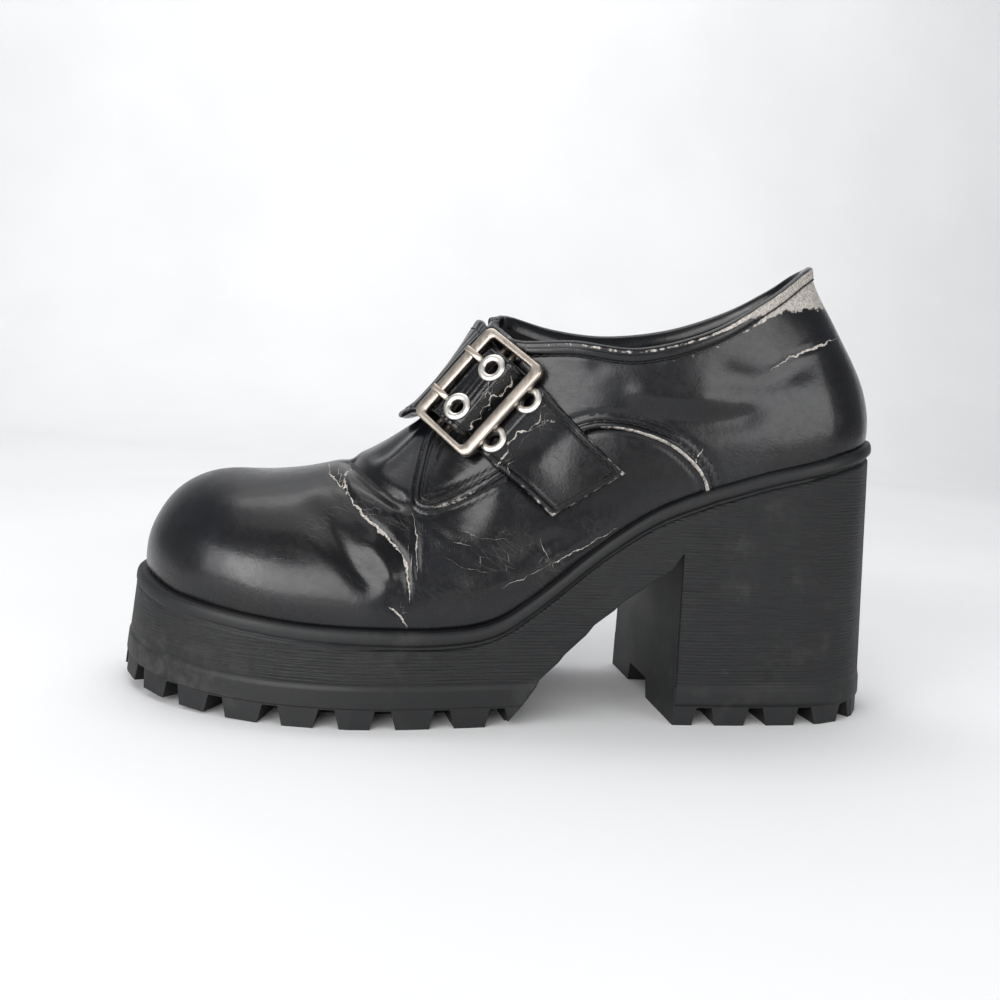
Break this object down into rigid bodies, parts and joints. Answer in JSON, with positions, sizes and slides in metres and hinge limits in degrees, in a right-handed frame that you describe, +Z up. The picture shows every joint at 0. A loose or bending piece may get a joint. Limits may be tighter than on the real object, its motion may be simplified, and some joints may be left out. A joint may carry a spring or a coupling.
{
  "type": "platform shoe",
  "caption": "Left platform shoe with a moulded block-heel sole, a hollow low-cut upper and a buckled strap over the instep.",
  "frame": {"origin": "middle of the shoe's length and width, on the floor that it stands on", "axes": "+X back to the heel, -X to the toe, +Y to the inner side of the foot, -Y to the outer side with the buckle, +Z up"},
  "size_m": [0.266, 0.0996, 0.1549],
  "materials": {
    "leather": "glossy black coated synthetic leather, creased and cracked",
    "rubber": "matte charcoal-black moulded rubber with fine ribs",
    "lining": "black woven lining",
    "nickel": "satin nickel plate"
  },
  "bodies": {
    "root": {"sole_unit": "rubber", "insole": "lining", "upper": "leather", "quarter_outer": "leather", "quarter_inner": "leather", "strap": "leather", "buckle_frame": "nickel", "prong_1": "nickel", "prong_2": "nickel", "eyelet_1": "nickel", "eyelet_2": "nickel", "eyelet_3": "nickel", "eyelet_4": "nickel"}
  },
  "joints": []
}
